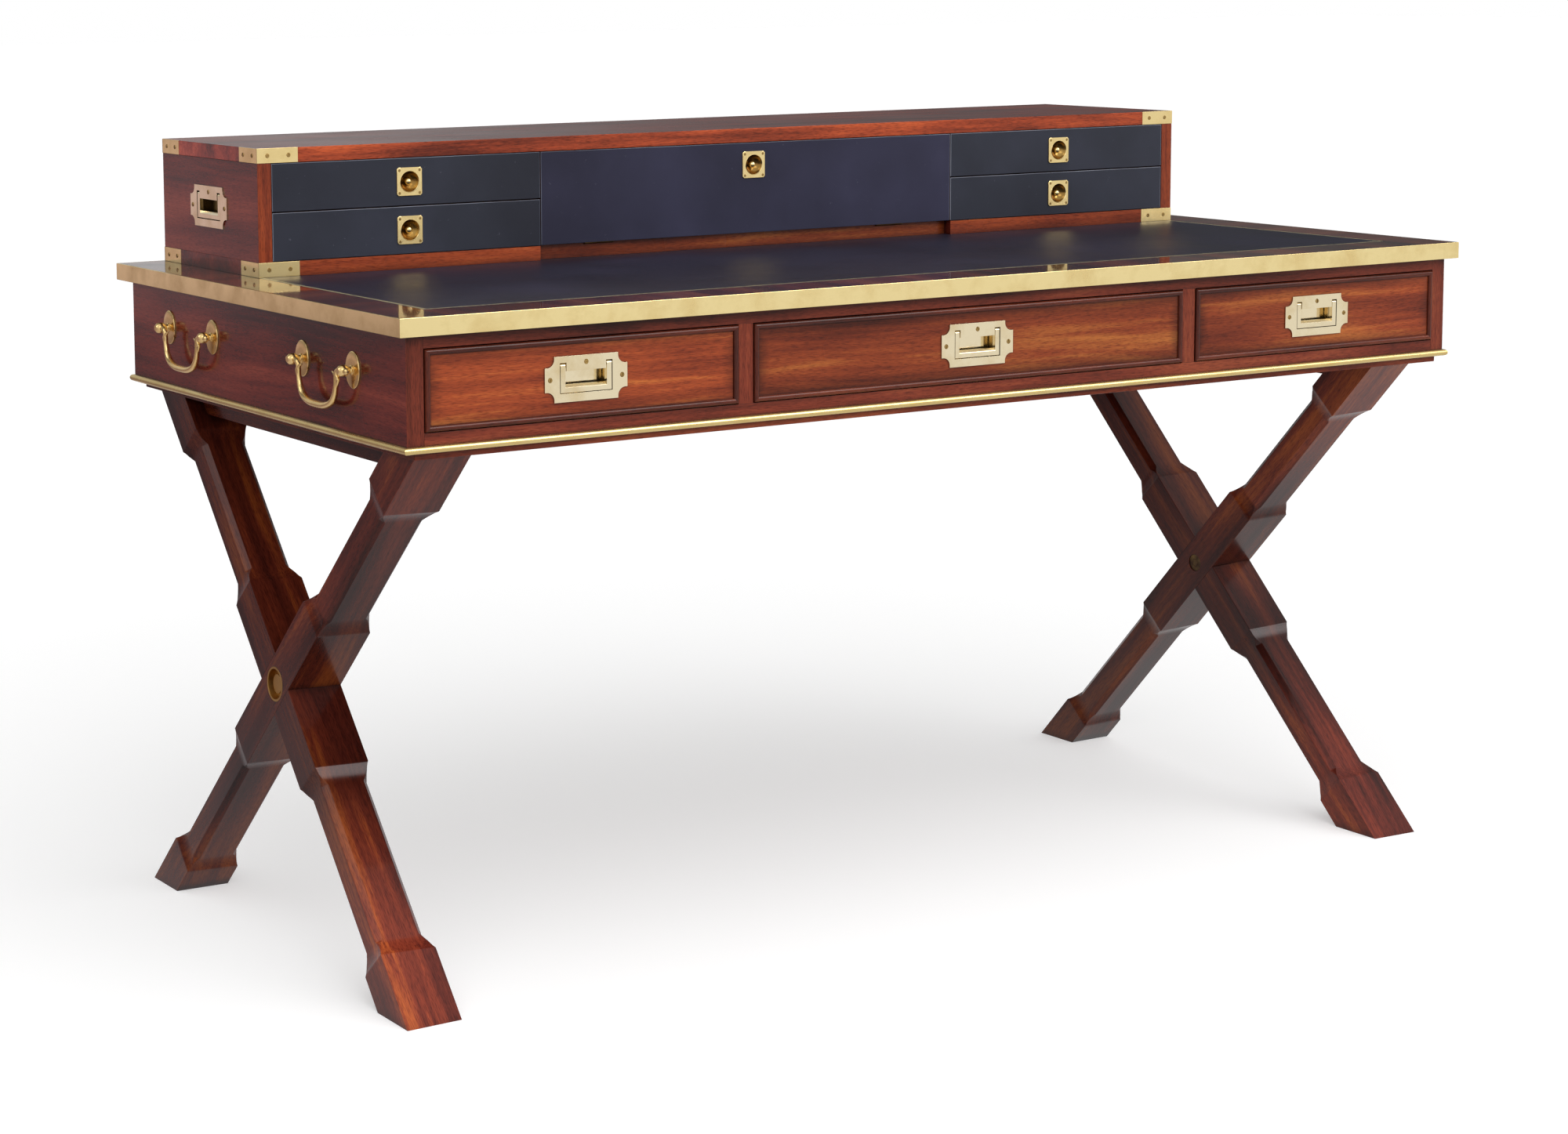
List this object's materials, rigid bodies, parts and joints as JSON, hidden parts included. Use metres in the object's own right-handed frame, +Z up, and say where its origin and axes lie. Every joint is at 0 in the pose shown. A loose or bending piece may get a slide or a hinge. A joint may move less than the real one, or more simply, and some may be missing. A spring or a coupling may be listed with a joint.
{
  "type": "campaign desk",
  "caption": "Brass-bound mahogany campaign desk on crossed legs, with a leather top, frieze drawers and a low drawer gallery with a fall front.",
  "frame": {"origin": "on the floor under the middle of the top", "axes": "+X along the top towards the sitter's right, +Y towards the back, +Z up"},
  "size_m": [1.51, 0.736, 0.9115],
  "materials": {
    "mahogany": "french polished",
    "drawer_lining": "planed, waxed",
    "navy_leather": "semi-gloss",
    "brass": "polished, lacquered"
  },
  "bodies": {
    "desk": {"top_board": "mahogany", "case_ends": "mahogany", "case_back": "mahogany", "case_front_frame": "mahogany", "bottom_board": "mahogany", "base_frame": "mahogany", "leg_left_outer": "mahogany", "leg_left_inner": "mahogany", "leg_right_outer": "mahogany", "leg_right_inner": "mahogany", "end_rails": "mahogany", "drawer_guides": "drawer_lining", "top_leather": "navy_leather", "top_brass_band": "brass", "brass_bead": "brass", "cross_bolts": "brass", "end_handle_mounts": "brass"},
    "end_handle_left_front": {"end_handle_left_front_bail": "brass"},
    "end_handle_left_rear": {"end_handle_left_rear_bail": "brass"},
    "end_handle_right_front": {"end_handle_right_front_bail": "brass"},
    "end_handle_right_rear": {"end_handle_right_rear_bail": "brass"},
    "frieze_left_drawer": {"frieze_left_drawer_front": "mahogany", "frieze_left_drawer_box": "drawer_lining", "frieze_left_handle_plate": "brass"},
    "frieze_left_bail": {"frieze_left_handle_bail": "brass"},
    "frieze_centre_drawer": {"frieze_centre_drawer_front": "mahogany", "frieze_centre_drawer_box": "drawer_lining", "frieze_centre_handle_plate": "brass"},
    "frieze_centre_bail": {"frieze_centre_handle_bail": "brass"},
    "frieze_right_drawer": {"frieze_right_drawer_front": "mahogany", "frieze_right_drawer_box": "drawer_lining", "frieze_right_handle_plate": "brass"},
    "frieze_right_bail": {"frieze_right_handle_bail": "brass"},
    "gallery": {"gallery_top": "mahogany", "gallery_bottom": "mahogany", "gallery_ends": "mahogany", "gallery_back": "mahogany", "gallery_dividers": "drawer_lining", "corner_straps": "brass", "gallery_handle_plates": "brass", "fall_hinge_fixed": "brass"},
    "gallery_left_bail": {"gallery_left_handle_bail": "brass"},
    "gallery_right_bail": {"gallery_right_handle_bail": "brass"},
    "small_left_lower": {"small_left_lower_drawer": "mahogany", "small_left_lower_leather": "navy_leather", "small_left_lower_pull": "brass"},
    "small_left_upper": {"small_left_upper_drawer": "mahogany", "small_left_upper_leather": "navy_leather", "small_left_upper_pull": "brass"},
    "small_right_lower": {"small_right_lower_drawer": "mahogany", "small_right_lower_leather": "navy_leather", "small_right_lower_pull": "brass"},
    "small_right_upper": {"small_right_upper_drawer": "mahogany", "small_right_upper_leather": "navy_leather", "small_right_upper_pull": "brass"},
    "fall": {"fall_panel": "mahogany", "fall_leather": "navy_leather", "fall_pull": "brass", "fall_hinge_leaves": "brass"}
  },
  "joints": [
    {"name": "end_handle_left_front_swing", "type": "hinge", "parent": "desk", "child": "end_handle_left_front", "pos_m": [-0.7485, -0.178, 0.695], "axis": [0, 1, 0], "range_deg": [-10, 90]},
    {"name": "end_handle_left_rear_swing", "type": "hinge", "parent": "desk", "child": "end_handle_left_rear", "pos_m": [-0.7485, 0.178, 0.695], "axis": [0, 1, 0], "range_deg": [-10, 90]},
    {"name": "end_handle_right_front_swing", "type": "hinge", "parent": "desk", "child": "end_handle_right_front", "pos_m": [0.7485, -0.178, 0.695], "axis": [0, -1, 0], "range_deg": [-10, 90]},
    {"name": "end_handle_right_rear_swing", "type": "hinge", "parent": "desk", "child": "end_handle_right_rear", "pos_m": [0.7485, 0.178, 0.695], "axis": [0, -1, 0], "range_deg": [-10, 90]},
    {"name": "frieze_left_drawer_slide", "type": "slide", "parent": "desk", "child": "frieze_left_drawer", "axis": [0, -1, 0], "range_m": [0, 0.42]},
    {"name": "frieze_left_bail_swing", "type": "hinge", "parent": "frieze_left_drawer", "child": "frieze_left_bail", "pos_m": [-0.5205, -0.3552, 0.698], "axis": [-1, 0, 0], "range_deg": [0, 90]},
    {"name": "frieze_centre_drawer_slide", "type": "slide", "parent": "desk", "child": "frieze_centre_drawer", "axis": [0, -1, 0], "range_m": [0, 0.42]},
    {"name": "frieze_centre_bail_swing", "type": "hinge", "parent": "frieze_centre_drawer", "child": "frieze_centre_bail", "pos_m": [0, -0.3552, 0.698], "axis": [-1, 0, 0], "range_deg": [0, 90]},
    {"name": "frieze_right_drawer_slide", "type": "slide", "parent": "desk", "child": "frieze_right_drawer", "axis": [0, -1, 0], "range_m": [0, 0.42]},
    {"name": "frieze_right_bail_swing", "type": "hinge", "parent": "frieze_right_drawer", "child": "frieze_right_bail", "pos_m": [0.5205, -0.3552, 0.698], "axis": [-1, 0, 0], "range_deg": [0, 90]},
    {"name": "gallery_lift", "type": "slide", "parent": "desk", "child": "gallery", "axis": [0, 0, 1], "range_m": [0, 0.25]},
    {"name": "gallery_left_bail_swing", "type": "hinge", "parent": "gallery", "child": "gallery_left_bail", "pos_m": [-0.6847, 0.22825, 0.85075], "axis": [0, 1, 0], "range_deg": [0, 90]},
    {"name": "gallery_right_bail_swing", "type": "hinge", "parent": "gallery", "child": "gallery_right_bail", "pos_m": [0.6847, 0.22825, 0.85075], "axis": [0, -1, 0], "range_deg": [0, 90]},
    {"name": "small_left_lower_slide", "type": "slide", "parent": "gallery", "child": "small_left_lower", "axis": [0, -1, 0], "range_m": [0, 0.16]},
    {"name": "small_left_upper_slide", "type": "slide", "parent": "gallery", "child": "small_left_upper", "axis": [0, -1, 0], "range_m": [0, 0.16]},
    {"name": "small_right_lower_slide", "type": "slide", "parent": "gallery", "child": "small_right_lower", "axis": [0, -1, 0], "range_m": [0, 0.16]},
    {"name": "small_right_upper_slide", "type": "slide", "parent": "gallery", "child": "small_right_upper", "axis": [0, -1, 0], "range_m": [0, 0.16]},
    {"name": "fall_drop", "type": "hinge", "parent": "gallery", "child": "fall", "pos_m": [0, 0.1072, 0.7795], "axis": [1, 0, 0], "range_deg": [0, 90]}
  ]
}
